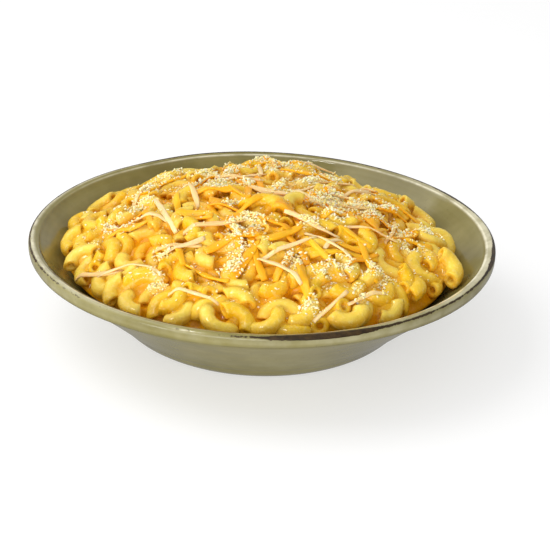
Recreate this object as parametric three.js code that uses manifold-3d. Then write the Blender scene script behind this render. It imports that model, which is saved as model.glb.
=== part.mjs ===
// A shallow stoneware pasta bowl heaped with macaroni and cheese.
//
// Millimetres, +Z up. The origin is the middle of the foot ring, on the surface that the bowl
// stands on. The front of the dish is -Y, and every angle is measured from +X towards +Y.
//
// Two solids: the bowl, turned from one profile and left a little uneven at its rim, and the
// heap, a dome of sauced pasta with cooked elbows and shreds of two cheeses fused on top.

import * as THREE from "three";
import { mergeVertices } from "three/addons/utils/BufferGeometryUtils.js";
import Module from "manifold-3d";

const wasm = await Module();
wasm.setup();

const TURN = 2 * Math.PI;
const DEG = Math.PI / 180;

// ---------------------------------------------------------------- driving dimensions

// Bowl
const RIM_RADIUS = 122.5; // widest, on the rim's outer band
const RIM_HEIGHT = 49;
const LIP_WIDTH = 5.3; // flat top of the rim, between its two worn edges
const LIP_DROP = 1.2; // the inner edge of that top lies lower than the outer one
const BAND_HEIGHT = 6.5; // upright outer face of the rim
const FLOOR_HEIGHT = 8; // inside floor above the table
const FLOOR_RADIUS = 60; // where the inside floor turns up into the wall
const WALL_POWER = 1.35; // how slowly that wall steepens
const FOOT_RADIUS = 70;
const FOOT_WIDTH = 6;
const FOOT_RECESS = 3.5;
const BOWL_SIDES = 48;
const RIM_DENT = { angle: 125 * DEG, width: 13 * DEG, depth: 1.5 }; // pressed in by the potter
const RIM_WAVE = { count: 3, phase: 0.6, height: 0.35 };

// Heap
const HEAP_RADIUS = 110; // where the dome of food would meet the wall
const HEAP_SHIFT = -1.8; // its middle lies a little to -X
const HEAP_EDGE_HEIGHT = 34;
const HEAP_RISE = 39.4;
const HEAP_POWER = 0.7;
const HEAP_LUMPS = [
  { x: 2, y: 72, width: 14, rise: 4 },
  { x: 24, y: 66, width: 12, rise: 3 },
  { x: 50, y: 50, width: 16, rise: -4 },
  { x: -82, y: 22, width: 14, rise: -3.5 },
  { x: 90, y: 14, width: 12, rise: -3 },
]; // where the outline rises above a plain dome or falls below it
const CORE_DEPTH = 7; // the solid heap comes up to here under the elbows on top,
const CORE_EDGE_DEPTH = 4.5; // and to here where it ends against the wall
const WALL_GAP = 0.9; // between the food and the glaze
const CORE_SIDES = 28;

// Cooked elbow, with the sauce that clings to it
const TUBE_RADIUS = 4.2;
const BORE_RADIUS = 2.3;
const BORE_DEPTH = 4;
const BEND_RADIUS = 8.4;
const BEND_ANGLE = 150 * DEG;
const ELBOW_SIDES = 6;
const ELBOW_STEPS = 3;
const ELBOW_TRIES = 90;
const ELBOW_PROUD = 4.5; // how far a piece may stand out of the dome
const REACH = 103.8; // how far out the middle of a tube may lie
const LEAD_ROOM = 0.4; // share of the ground near a leading elbow that others keep off
const PROBES = 7; // balls along an elbow that find what it rests on
const SQUASH = 0.84; // soft pasta sinks this far into what it lies on,
const SUNK = 0.1; // and its middle this far under the top of the solid heap
const EDGE_COUNT = 24; // laid first, round the edge
const EDGE_BAND = 0.92; // of the reach, where that edge begins
const TOP_COUNT = 46; // then evenly over the rest

// Elbows with a place of their own on top of the heap: where each lies, which way its bend
// points (0 is +Y), and how far it is tipped up on its ends.
const LEADING_ELBOWS = [
  { x: 31, y: -67, heading: 2, tilt: 52, size: 1.14, turn: 165 },
  { x: 36, y: -73, heading: 38, tilt: -8, size: 0.95, turn: 130 },
  { x: -59, y: -66, heading: 8, tilt: 55, size: 1.15, turn: 150 },
  { x: -47, y: -82, heading: 40, tilt: 20, size: 1, turn: 120 },
  { x: -92, y: -16, heading: 85, tilt: 18, size: 1.05, turn: 150 },
  { x: -76, y: -33, heading: -80, tilt: 35, size: 1, turn: 140 },
  { x: 10, y: -89, heading: 6, tilt: 12, size: 1.05, turn: 150 },
  { x: -24, y: -88, heading: 24, tilt: 38, size: 1.15, turn: 110 },
  { x: 66, y: -64, heading: -48, tilt: 10, size: 1.05, turn: 135 },
  { x: 88, y: -20, heading: -75, tilt: 30, size: 1.1, turn: 150 },
  { x: 2, y: -42, heading: 160, tilt: -30, size: 1, turn: 130 },
  { x: -48, y: 30, heading: 20, tilt: 15, size: 1, turn: 140 },
  { x: 2, y: 68, heading: 15, tilt: 30, size: 1.1, turn: 140 },
  { x: 8, y: 6, heading: -40, tilt: 42, size: 1.05, turn: 145 },
  { x: 96, y: -37, heading: -62, tilt: 15, size: 1.05, turn: 130 },
];

// Shreds of cheese strewn on top, cheddar first and then the white ones: the middle of each,
// the way it runs (0 is +X), its length, and how far it curls.
const CHEDDAR_WIDTH = 3;
const WHITE_WIDTH = 2.5;
const SHRED_THICKNESS = 1.7;
const SHRED_STEPS = 3;
const CHEDDAR_SHREDS = [
  { x: -22, y: -28, heading: -56, length: 26, curl: 30 },
  { x: -6, y: -18, heading: 44, length: 26, curl: -25 },
  { x: 40, y: -15, heading: 52, length: 28, curl: 20 },
  { x: 25, y: 31, heading: 0, length: 32, curl: 12 },
  { x: 18, y: -52, heading: -62, length: 24, curl: -20 },
  { x: 60, y: -22, heading: 62, length: 26, curl: 25 },
  { x: 20, y: -76, heading: -80, length: 24, curl: 15 },
  { x: -60, y: -19, heading: -67, length: 26, curl: -30 },
];
const WHITE_SHREDS = [
  { x: -51, y: -19, heading: -71, length: 40, curl: 12 },
  { x: -24, y: -37, heading: 12, length: 32, curl: 10 },
  { x: -66, y: -59, heading: -20, length: 40, curl: -35 },
  { x: -32, y: -86, heading: -19, length: 26, curl: -10 },
  { x: 10, y: -71, heading: -42, length: 28, curl: -25 },
  { x: 55, y: -30, heading: -5, length: 28, curl: 15 },
  { x: 67, y: -18, heading: 77, length: 30, curl: 20 },
  { x: 14, y: -54, heading: 33, length: 32, curl: 8 },
];

// ---------------------------------------------------------------- shared maths

/** A small seeded generator, so that every build lays the same heap. */
function seeded(seed) {
  let state = seed >>> 0;
  return () => {
    state = (state + 0x6d2b79f5) >>> 0;
    let t = state;
    t = Math.imul(t ^ (t >>> 15), t | 1);
    t ^= t + Math.imul(t ^ (t >>> 7), t | 61);
    return ((t ^ (t >>> 14)) >>> 0) / 4294967296;
  };
}

const INNER_RADIUS = RIM_RADIUS - LIP_WIDTH;
const INNER_HEIGHT = RIM_HEIGHT - LIP_DROP;

/** Height of the bowl's inside at a radius. */
function wallHeight(radius) {
  const across = Math.max(0, (radius - FLOOR_RADIUS) / (INNER_RADIUS - FLOOR_RADIUS));
  return FLOOR_HEIGHT + (INNER_HEIGHT - FLOOR_HEIGHT) * across ** WALL_POWER;
}

/** Slope of the bowl's inside at a radius. */
function wallSlope(radius) {
  return (wallHeight(radius + 0.5) - wallHeight(radius - 0.5)) / 1;
}

/** Height that the tops of the elbows follow: a dome with its own lumps and hollows. */
function domeHeight(x, y) {
  const across = Math.min(1, Math.hypot(x - HEAP_SHIFT, y) / HEAP_RADIUS);
  let height = HEAP_EDGE_HEIGHT + HEAP_RISE * (1 - across * across) ** HEAP_POWER;
  for (const lump of HEAP_LUMPS) {
    const away = ((x - lump.x) ** 2 + (y - lump.y) ** 2) / lump.width ** 2;
    height += lump.rise * Math.exp(-away);
  }
  return height;
}

/** The geometry as a solid that can be joined. */
function solidOf(geometry) {
  const bare = geometry.index ? geometry.toNonIndexed() : geometry.clone();
  bare.deleteAttribute("normal");
  bare.deleteAttribute("uv");
  const merged = mergeVertices(bare, 1e-4);
  return new wasm.Manifold(
    new wasm.Mesh({
      numProp: 3,
      vertProperties: new Float32Array(merged.attributes.position.array),
      triVerts: new Uint32Array(merged.index.array),
    }),
  );
}

/** The solid as a geometry, with flat faces. */
function geometryOf(solid) {
  const { vertProperties, triVerts, numProp } = solid.getMesh();
  const positions = new Float32Array(triVerts.length * 3);
  triVerts.forEach((vertex, i) => {
    for (let k = 0; k < 3; k++) positions[3 * i + k] = vertProperties[vertex * numProp + k];
  });
  const geometry = new THREE.BufferGeometry();
  geometry.setAttribute("position", new THREE.BufferAttribute(positions, 3));
  geometry.computeVertexNormals();
  return geometry;
}

function lathed(points, sides) {
  return new THREE.LatheGeometry(points, sides).rotateX(Math.PI / 2);
}

// ---------------------------------------------------------------- bowl

function bowlProfile() {
  const outside = new THREE.SplineCurve([
    new THREE.Vector2(FOOT_RADIUS, 0),
    new THREE.Vector2(FOOT_RADIUS + 4, 2.8),
    new THREE.Vector2(FOOT_RADIUS + 9, 7.9),
    new THREE.Vector2(RIM_RADIUS - 27.8, 22.3),
    new THREE.Vector2(RIM_RADIUS - 17.1, 31),
    new THREE.Vector2(RIM_RADIUS - 5, RIM_HEIGHT - BAND_HEIGHT - 2),
  ]).getPoints(6);
  const band = [
    new THREE.Vector2(RIM_RADIUS - 1, RIM_HEIGHT - BAND_HEIGHT),
    new THREE.Vector2(RIM_RADIUS, RIM_HEIGHT - 3),
    new THREE.Vector2(RIM_RADIUS - 1, RIM_HEIGHT),
    new THREE.Vector2(INNER_RADIUS, INNER_HEIGHT),
  ];
  const wallRadii = [108, 98, 86, 72, FLOOR_RADIUS];
  const inside = wallRadii.map((radius) => new THREE.Vector2(radius, wallHeight(radius)));
  const footInner = FOOT_RADIUS - FOOT_WIDTH;
  return [
    new THREE.Vector2(0, FOOT_RECESS),
    new THREE.Vector2(footInner - 3, FOOT_RECESS),
    new THREE.Vector2(footInner, 0),
    ...outside,
    ...band,
    ...inside,
    new THREE.Vector2(0, FLOOR_HEIGHT),
  ];
}

/** Presses the dent and the slow wave into the rim, and leaves everything below it round. */
function unevenRim(geometry) {
  const position = geometry.attributes.position;
  const low = RIM_HEIGHT - 9;
  for (let i = 0; i < position.count; i++) {
    const x = position.getX(i);
    const y = position.getY(i);
    const z = position.getZ(i);
    const share = THREE.MathUtils.smoothstep(z, low, RIM_HEIGHT);
    if (share === 0) continue;
    const angle = Math.atan2(y, x);
    const away = (angle - RIM_DENT.angle) / RIM_DENT.width;
    const dent = RIM_DENT.depth * Math.exp(-away * away) * share;
    const radius = Math.hypot(x, y);
    const scale = (radius - dent) / radius;
    const wave = RIM_WAVE.height * Math.cos(RIM_WAVE.count * angle + RIM_WAVE.phase) * share;
    position.setXYZ(i, x * scale, y * scale, z + wave);
  }
  return geometry;
}

function makeBowl() {
  return unevenRim(lathed(bowlProfile(), BOWL_SIDES));
}

// ---------------------------------------------------------------- heap

/** Top of the solid heap that the elbows on top are sunk in. */
function coreHeight(x, y) {
  const across = Math.min(1, Math.hypot(x - HEAP_SHIFT, y) / HEAP_RADIUS);
  return domeHeight(x, y) - CORE_DEPTH + (CORE_DEPTH - CORE_EDGE_DEPTH) * across ** 6;
}

/** Where the top of the sauce runs into the wall, in one direction from the middle. */
function coreEdge(angle) {
  let radius = HEAP_RADIUS;
  const overWall = () => {
    const top = coreHeight(radius * Math.cos(angle), radius * Math.sin(angle));
    return top > wallHeight(radius) + WALL_GAP + 0.6;
  };
  while (!overWall()) radius -= 0.1;
  return radius;
}

/** The bed of sauce and hidden pasta: a closed shell of rings over and under. */
function makeCore() {
  const under = [0.42, 0.62, 0.74, 0.84, 0.93, 1];
  const over = [0.9, 0.75, 0.55, 0.3];
  const positions = [0, 0, FLOOR_HEIGHT + WALL_GAP];
  const rings = under.length + over.length;
  for (let ring = 0; ring < rings; ring++) {
    for (let side = 0; side < CORE_SIDES; side++) {
      const angle = (TURN * side) / CORE_SIDES;
      const low = ring < under.length;
      const radius = coreEdge(angle) * (low ? under[ring] : over[ring - under.length]);
      const x = radius * Math.cos(angle);
      const y = radius * Math.sin(angle);
      positions.push(x, y, low ? wallHeight(radius) + WALL_GAP : coreHeight(x, y));
    }
  }
  positions.push(0, 0, coreHeight(0, 0));
  const last = rings * CORE_SIDES + 1;
  const index = [];
  for (let side = 0; side < CORE_SIDES; side++) {
    const next = (side + 1) % CORE_SIDES;
    index.push(0, 1 + next, 1 + side);
    for (let ring = 0; ring < rings - 1; ring++) {
      const a = 1 + ring * CORE_SIDES;
      const b = a + CORE_SIDES;
      index.push(a + side, a + next, b + next, a + side, b + next, b + side);
    }
    index.push(last, last - CORE_SIDES + side, last - CORE_SIDES + next);
  }
  const geometry = new THREE.BufferGeometry();
  geometry.setAttribute("position", new THREE.Float32BufferAttribute(positions, 3));
  geometry.setIndex(index);
  return geometry;
}

const X_AXIS = new THREE.Vector3(1, 0, 0);
const Y_AXIS = new THREE.Vector3(0, 1, 0);
const Z_AXIS = new THREE.Vector3(0, 0, 1);

/** Tips a point of an elbow up on its ends, turns it, and leans it with the slope of the dome. */
function posed(point, { tilt, pitch, heading, slope, bearing }) {
  return point
    .applyAxisAngle(X_AXIS, tilt)
    .applyAxisAngle(Y_AXIS, pitch)
    .applyAxisAngle(Z_AXIS, heading - bearing)
    .applyAxisAngle(Y_AXIS, slope)
    .applyAxisAngle(Z_AXIS, bearing);
}

/** A place on an elbow's middle line, bent in its own XY plane with its bend towards +Y. */
function bendPoint(share, bend, turn) {
  const angle = (share - 0.5) * turn;
  return new THREE.Vector3(bend * Math.sin(angle), bend * (Math.cos(angle) - 0.8), 0);
}

/** Lowest height at which a ball's centre clears the wall and lies half sunk in the heap. */
function groundFor(x, y, radius) {
  const away = Math.hypot(x, y);
  const slope = wallSlope(away);
  const wall = wallHeight(away) + (radius + WALL_GAP) * Math.sqrt(1 + slope * slope);
  return Math.max(coreHeight(x, y) - radius * SUNK, wall);
}

/** Lean of the dome at a place: how steep it is, and towards which side it falls. */
function leanAt(x, y) {
  const dx = domeHeight(x + 1, y) - domeHeight(x - 1, y);
  const dy = domeHeight(x, y + 1) - domeHeight(x, y - 1);
  return { slope: Math.atan(Math.hypot(dx, dy) / 2), bearing: Math.atan2(-dy, -dx) };
}

/** Height at which a tube's end, in full, clears the wall. */
function wallFor(x, y, radius) {
  const away = Math.hypot(x, y);
  const slope = wallSlope(away);
  return wallHeight(away) + (radius * 0.9 + WALL_GAP) * Math.sqrt(1 + slope * slope);
}

/** Drops an elbow onto what lies there already, and says how far it stands out of the dome. */
function dropped(x, y, size, turn, pose, balls, leads) {
  const radius = TUBE_RADIUS * size;
  const probes = [];
  let z = -Infinity;
  for (let k = 0; k < PROBES; k++) {
    const share = 0.12 + (0.76 * k) / (PROBES - 1);
    const probe = posed(bendPoint(share, BEND_RADIUS * size, turn), pose);
    probes.push(probe);
    const px = x + probe.x;
    const py = y + probe.y;
    const full = posed(bendPoint(k / (PROBES - 1), BEND_RADIUS * size, turn), pose);
    if (!leads && Math.hypot(x + full.x - HEAP_SHIFT, y + full.y) > REACH) return null;
    z = Math.max(z, groundFor(px, py, radius) - probe.z);
    z = Math.max(z, wallFor(x + full.x, y + full.y, radius) - full.z);
    for (const ball of balls) {
      const reach = (radius + ball.radius) * SQUASH;
      const flat = (px - ball.x) ** 2 + (py - ball.y) ** 2;
      if (flat >= reach * reach) continue;
      if (ball.leads && !leads && flat < reach * reach * LEAD_ROOM) return null;
      z = Math.max(z, ball.z + Math.sqrt(reach * reach - flat) - probe.z);
    }
  }
  let proud = -Infinity;
  for (const probe of probes) {
    probe.add(new THREE.Vector3(x, y, z));
    proud = Math.max(proud, probe.z + radius - domeHeight(probe.x, probe.y));
  }
  return { x, y, z, size, turn, pose, radius, probes, proud };
}

/** Lays the elbows one by one, each in the lowest of the places that it tries. */
function layElbows() {
  const random = seeded(41);
  const balls = [];
  const elbows = [];
  const keep = (elbow, leads) => {
    elbow.probes.forEach(({ x, y, z }) => balls.push({ x, y, z, radius: elbow.radius, leads }));
    elbows.push(elbow);
  };
  const scatter = (count, tipped, from) => {
    for (let n = 0; n < count; n++) {
      const size = 0.9 + 0.22 * random();
      const turn = BEND_ANGLE * (0.8 + 0.4 * random());
      const upright = (random() < tipped ? 65 : 14) * DEG;
      let best = null;
      for (let t = 0; t < ELBOW_TRIES; t++) {
        const away = REACH * Math.sqrt(from * from + (1 - from * from) * random());
        const angle = TURN * random();
        const x = HEAP_SHIFT + away * Math.cos(angle);
        const y = away * Math.sin(angle);
        const pose = {
          tilt: (random() < 0.5 ? -1 : 1) * upright * (0.5 + 0.5 * random()),
          pitch: (random() * 2 - 1) * 20 * DEG,
          heading: TURN * random(),
          ...leanAt(x, y),
        };
        pose.slope *= 1 - (0.5 + 1.5 * (away / HEAP_RADIUS) ** 6) * random();
        const elbow = dropped(x, y, size, turn, pose, balls, false);
        if (elbow && (!best || elbow.proud < best.proud)) best = elbow;
      }
      if (best && best.proud < ELBOW_PROUD) keep(best, false);
    }
  };
  for (const { x, y, heading, tilt, size, turn } of LEADING_ELBOWS) {
    const pose = { tilt: tilt * DEG, pitch: 0, heading: heading * DEG, ...leanAt(x, y) };
    keep(dropped(x, y, size, turn * DEG, pose, [], true), true);
  }
  scatter(EDGE_COUNT, 0.3, EDGE_BAND);
  scatter(TOP_COUNT, 0.25, 0);
  return { elbows, balls };
}

/** One elbow: a straight tube with a hollow in each end, bent round its arc. */
function elbowGeometry({ x, y, z, size, turn, pose }) {
  const bend = BEND_RADIUS * size;
  const length = bend * turn;
  const outer = TUBE_RADIUS * size * 1.04;
  const bore = BORE_RADIUS * size;
  const profile = [new THREE.Vector2(0, BORE_DEPTH), new THREE.Vector2(bore, 0)];
  for (let step = 0; step <= ELBOW_STEPS; step++) {
    profile.push(new THREE.Vector2(outer, (length * step) / ELBOW_STEPS));
  }
  profile.push(new THREE.Vector2(bore, length), new THREE.Vector2(0, length - BORE_DEPTH));
  const geometry = new THREE.LatheGeometry(profile, ELBOW_SIDES);
  const position = geometry.attributes.position;
  const point = new THREE.Vector3();
  for (let i = 0; i < position.count; i++) {
    const angle = (position.getY(i) / length - 0.5) * turn;
    const reach = bend + position.getX(i);
    point.set(
      reach * Math.sin(angle),
      reach * Math.cos(angle) - 0.8 * bend,
      -position.getZ(i),
    );
    posed(point, pose);
    position.setXYZ(i, point.x + x, point.y + y, point.z + z);
  }
  return geometry;
}

/** Height of what lies on top at a place: an elbow, or the sauce between elbows. */
function topHeight(x, y, balls) {
  let height = coreHeight(x, y);
  for (const ball of balls) {
    const flat = (x - ball.x) ** 2 + (y - ball.y) ** 2;
    const rise = ball.radius * ball.radius - flat;
    if (rise > 0) height = Math.max(height, ball.z + Math.sqrt(rise));
  }
  return height;
}

/** A shred draped over the elbows: a curling strip with a flat section. */
function shredGeometry({ x, y, heading, length, curl }, width, balls) {
  const middle = [];
  for (let step = 0; step <= SHRED_STEPS; step++) {
    const share = step / SHRED_STEPS - 0.5;
    const along = heading * DEG + share * curl * DEG;
    const chord = length * share;
    const px = x + chord * Math.cos((heading * DEG + along) / 2);
    const py = y + chord * Math.sin((heading * DEG + along) / 2);
    middle.push({ x: px, y: py, z: topHeight(px, py, balls), along });
  }
  for (let step = 1; step < SHRED_STEPS; step++) {
    middle[step].z = Math.max(middle[step].z, (middle[step - 1].z + middle[step + 1].z) / 2);
  }
  const positions = [];
  for (const { x: px, y: py, z, along } of middle) {
    for (const [across, up] of [[-0.5, -0.5], [0.5, -0.5], [0.5, 0.5], [-0.5, 0.5]]) {
      const side = across * width;
      const height = z + up * SHRED_THICKNESS;
      positions.push(px - side * Math.sin(along), py + side * Math.cos(along), height);
    }
  }
  const index = [0, 2, 1, 0, 3, 2];
  for (let step = 0; step < SHRED_STEPS; step++) {
    for (let side = 0; side < 4; side++) {
      const a = 4 * step + side;
      const b = 4 * step + ((side + 1) % 4);
      index.push(a, b + 4, a + 4, a, b, b + 4);
    }
  }
  const end = 4 * SHRED_STEPS;
  index.push(end, end + 1, end + 2, end, end + 2, end + 3);
  const geometry = new THREE.BufferGeometry();
  geometry.setAttribute("position", new THREE.Float32BufferAttribute(positions, 3));
  geometry.setIndex(index);
  return geometry;
}

/** The one outer body of a joined solid, without loose scraps and sealed hollows. */
function outerBody(solid) {
  return solid.decompose().sort((a, b) => b.volume() - a.volume())[0];
}

function makeHeap() {
  const { elbows, balls } = layElbows();
  const pieces = [
    makeCore(),
    ...elbows.map((elbow) => elbowGeometry(elbow)),
    ...CHEDDAR_SHREDS.map((shred) => shredGeometry(shred, CHEDDAR_WIDTH, balls)),
    ...WHITE_SHREDS.map((shred) => shredGeometry(shred, WHITE_WIDTH, balls)),
  ].map(solidOf);
  const body = outerBody(wasm.Manifold.union(pieces));
  return geometryOf(body);
}

// ---------------------------------------------------------------- the dish

function piece(name, geometry, color, roughness) {
  const material = new THREE.MeshStandardMaterial({ color, roughness, metalness: 0 });
  const mesh = new THREE.Mesh(geometry, material);
  mesh.name = name;
  return mesh;
}

const dish = new THREE.Group();
dish.add(
  piece("bowl", makeBowl(), "#a8a17a", 0.25),
  piece("macaroni_heap", makeHeap(), "#e9b93c", 0.45),
);

export default dish;
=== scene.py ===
"""A shallow glazed stoneware bowl heaped with macaroni and cheese.

The bowl is turned from one profile. The heap is a bed of pooled cheese sauce with cooked elbows
lying in it, strips of two grated cheeses draped over them, and crumbs of a dry white cheese.
"""

import math
import random
from functools import partial

import bpy
import numpy as np
from mathutils import Matrix, Vector, noise
from mathutils.bvhtree import BVHTree


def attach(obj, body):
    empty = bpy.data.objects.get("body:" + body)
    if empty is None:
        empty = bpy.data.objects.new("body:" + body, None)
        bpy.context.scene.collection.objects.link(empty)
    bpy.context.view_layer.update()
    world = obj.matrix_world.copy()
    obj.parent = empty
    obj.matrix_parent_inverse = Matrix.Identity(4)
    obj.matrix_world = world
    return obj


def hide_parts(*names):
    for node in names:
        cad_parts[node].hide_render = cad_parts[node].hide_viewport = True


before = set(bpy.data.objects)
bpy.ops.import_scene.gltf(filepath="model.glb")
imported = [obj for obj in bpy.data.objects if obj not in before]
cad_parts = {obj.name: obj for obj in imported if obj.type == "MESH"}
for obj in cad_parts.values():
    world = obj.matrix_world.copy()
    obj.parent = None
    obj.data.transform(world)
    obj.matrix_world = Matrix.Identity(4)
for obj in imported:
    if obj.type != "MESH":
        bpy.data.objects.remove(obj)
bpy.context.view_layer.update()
bpy.ops.object.select_all(action="DESELECT")

MM = 0.001
DEG = math.pi / 180
TURN = 2 * math.pi

# ---- sizes, in millimetres

RIM_RADIUS = 122.5
RIM_HEIGHT = 49.0
LIP_WIDTH = 5.3
LIP_DROP = 1.2
INNER_RADIUS = RIM_RADIUS - LIP_WIDTH
INNER_HEIGHT = RIM_HEIGHT - LIP_DROP
FLOOR_HEIGHT = 8.0
FLOOR_RADIUS = 60.0
WALL_POWER = 1.35
BOWL_STEPS = 144
BAND_TOP = (122.5, 46.8)
RIM_DENT = {"angle": 125 * DEG, "width": 13 * DEG, "depth": 1.5}
RIM_WAVE = {"count": 3, "phase": 0.6, "height": 0.35}
RIM_LEAN = 9.0  # how far down the wall the dent and the wave reach
# the crown, the line and the ridge are where painted highlights lie; outer and inner are dark lines
LIP_MARKS = {"outer": 121.7, "crown": 120.4, "line": 119.6, "ridge": 117.6, "inner": 116.7}  # radii
FRONT_LEFT = -120 * DEG
WORN_PATCHES = (  # angle round the rim in degrees, half-width, strength
    (-76, 9, 2.8), (-10, 9, 0.9), (27, 12, 1.0),
    (60, 14, 0.3), (110, 20, 0.3), (158, 20, 0.3),
    (-118, 30, -0.4),
)

HEAP_RADIUS = 110.0
HEAP_SHIFT = -1.8
HEAP_EDGE_HEIGHT = 34.0
HEAP_RISE = 39.4
HEAP_POWER = 0.7
HEAP_LUMPS = (  # x, y, width, rise
    (2, 72, 14, 4), (24, 66, 12, 3), (50, 50, 16, -4),
    (-82, 22, 14, -3.5), (90, 14, 12, -3),
)
CORE_DEPTH = 7.0
CORE_EDGE_DEPTH = 4.5
WALL_GAP = 0.9
FOOD_TOP = 75.9  # toppings, and the elbows that fill gaps, stay below this

TUBE_RADIUS = 4.2
BORE_RADIUS = 2.3
BEND_RADIUS = 8.4
BEND_ANGLE = 150 * DEG
ELBOW_LENGTH = BEND_RADIUS * BEND_ANGLE
ELBOW_TRIES = 90
ELBOW_PROUD = 4.5
REACH = 103.8
PROBES = 7
LEAD_ROOM = 0.4
SQUASH = 0.84
SUNK = 0.1
EDGE_COUNT, EDGE_BAND = 24, 0.92
TOP_COUNT = 46
GAP_COUNT = 170  # elbows laid over bare sauce after the others, closer and deeper
GAP_TRIES, GAP_GRID, GAP_LEAST = 36, 2.0, 0.6
GAP_SQUASH, GAP_DEPTH, GAP_UNDER = 0.62, 9.5, 9
LEADING_ELBOWS = (  # x, y, heading, tilt, size, turn
    (31, -67, 2, 52, 1.14, 165), (36, -73, 38, -8, 0.95, 130), (-59, -66, 8, 55, 1.15, 150),
    (-47, -82, 40, 20, 1, 120), (-92, -16, 85, 18, 1.05, 150), (-76, -33, -80, 35, 1, 140),
    (10, -89, 6, 12, 1.05, 150), (-24, -88, 24, 38, 1.15, 110), (66, -64, -48, 10, 1.05, 135),
    (88, -20, -75, 30, 1.1, 150), (2, -42, 160, -30, 1, 130), (-48, 30, 20, 15, 1, 140),
    (2, 68, 15, 30, 1.1, 140), (8, 6, -40, 42, 1.05, 145), (96, -37, -62, 15, 1.05, 130),
)

BED_DEPTHS = (9.0, 6.0)  # from the heap's mean top to the sauce, in the middle and at the edge
POOL, SKIN = 2.2, 0.45  # how far the sauce swells to fill gaps, and how much further it draws back
SAUCE_FACES = 95000
SAUCE_GRIDS = (1.3, 1.25)

CHEDDAR_SHREDS = (  # x, y, heading, length, curl
    (-22, -28, -56, 26, 30), (-6, -18, 44, 26, -25), (40, -15, 52, 28, 20),
    (25, 31, 0, 32, 12), (18, -52, -62, 24, -20), (60, -22, 62, 26, 25),
    (20, -76, -80, 24, 15), (-60, -19, -67, 26, -30), (12, -43, 46, 24, 20),
    (-12, 21, -51, 26, -25), (77, -20, -3, 22, 30), (49, -55, 48, 24, -20),
    (-27, -71, -33, 26, 25), (-68, -26, 1, 22, -25), (38, -44, -25, 25, 30),
    (-25, 4, 5, 24, -25),
)
WHITE_SHREDS = (
    (-51, -19, -71, 40, 12), (-24, -37, 12, 32, 10), (-66, -59, -20, 40, -35),
    (-32, -86, -19, 26, -10), (10, -71, -42, 28, -25), (55, -30, -5, 28, 15),
    (67, -18, 77, 30, 20), (14, -54, 33, 32, 8), (-81, -55, -18, 26, 20),
    (34, -89, 47, 24, 10), (51, -80, 31, 22, -12), (-39, -53, 25, 24, 15),
    (25, -32, -23, 30, -15), (1, 5, -35, 30, 15), (-37, 3, 105, 35, 12),
)
# taut: rounds of pulling, more: strewn at random within reach
CHEDDAR = {"width": 4.2, "thickness": 1.3, "taut": 40, "more": 58, "reach": 76, "seed": 5}
WHITE = {"width": 2.6, "thickness": 1.0, "taut": 120, "more": 20, "reach": 92, "seed": 11}
SHRED_CUTS, PATH_STEPS = 14, 22
FEELER = 1.2  # how far to each side a strip feels what lies under it
LOWEST_SHRED, WALL_CLEAR, SAG = 20, 3.0, 0.008
STREAKS_ALONG, STREAKS_ACROSS = 0.12, 2.2  # in a millimetre

CRUMB_CLUMPS = (  # x, y, spread, count
    (-31, 38, 3.6, 90), (-13, 50, 4, 90), (56, -4, 3.6, 90),
    (57, -62, 3.2, 90), (44, 0, 3.8, 70), (-13, -38, 3.6, 90),
    (-8, -32, 3.4, 60), (-66, 5, 3.8, 80), (30, -72, 2.6, 34),
    (35, 3, 4, 80), (9, 54, 5, 95), (-38, 20, 4, 80),
    (20, 24, 5, 70), (-52, 42, 3.8, 60), (-44, 57, 3.4, 40),
    (0, 70, 3.8, 40), (-60, 28, 3.4, 50), (38, 40, 3.8, 50),
    (30, 57, 3.4, 40), (-25, 12, 3.4, 60), (64, 8, 3.4, 60),
    (72, -12, 3, 50),
)
CLUMPS_STREWN, CLUMP_REACH = 34, 94
DUST_TRIES, DUST_REACH, DUST_PATCH = 3200, 98, 9
CRUMB_REACH, CRUMB_UNDER, CRUMB_PILE = 101, 8, 0.9

# ---- materials

NOISE, RAMP, MIX = "ShaderNodeTexNoise", "ShaderNodeValToRGB", "ShaderNodeMixRGB"
MATH, BUMP, GIVEN = "ShaderNodeMath", "ShaderNodeBump", "ShaderNodeAttribute"
PLUS, TIMES, TIMES_PLUS = ({"operation": kind} for kind in ("ADD", "MULTIPLY", "MULTIPLY_ADD"))
SOAK = 1.5 * MM  # how far light soaks into cheese


def linear(code):
    """An sRGB hex colour as the linear colour that a shader takes."""
    parts = [int(code[i : i + 2], 16) / 255 for i in (1, 3, 5)]
    return [c / 12.92 if c <= 0.04045 else ((c + 0.055) / 1.055) ** 2.4 for c in parts] + [1.0]


def plug(node, **sockets):
    """Sets sockets by name, or by place as at0 and at1, to a value, a hex colour or a link."""
    for name, value in sockets.items():
        socket = node.inputs[int(name[2:]) if name.startswith("at") else name.replace("_", " ")]
        if isinstance(value, bpy.types.NodeSocket):
            node.id_data.links.new(value, socket)
        else:
            socket.default_value = linear(value) if isinstance(value, str) else value


def add(tree, kind, settings=None, out=0, **sockets):
    """Adds a node with its settings, or the stops of a ramp, and its links, and gives an output."""
    made = tree.nodes.new(kind)
    if kind == RAMP:
        elements = made.color_ramp.elements
        while len(elements) < len(settings):
            elements.new(0.5)
        for element, (place, code) in zip(elements, settings):
            element.position, element.color = place, linear(code)
    elif settings:
        for name, value in settings.items():
            setattr(made, name, value)
    plug(made, **sockets)
    return made.outputs[out]


def blank_material(name, *given):
    """A new material, what adds to it, its shader, its coordinates and its vertices' values."""
    made = bpy.data.materials.new(name)
    made.use_nodes = True
    put = partial(add, made.node_tree)
    values = [put(GIVEN, {"attribute_name": each}, "Fac") for each in given]
    coords = put("ShaderNodeTexCoord", out="Object")
    return made, put, made.node_tree.nodes["Principled BSDF"], coords, *values


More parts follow.
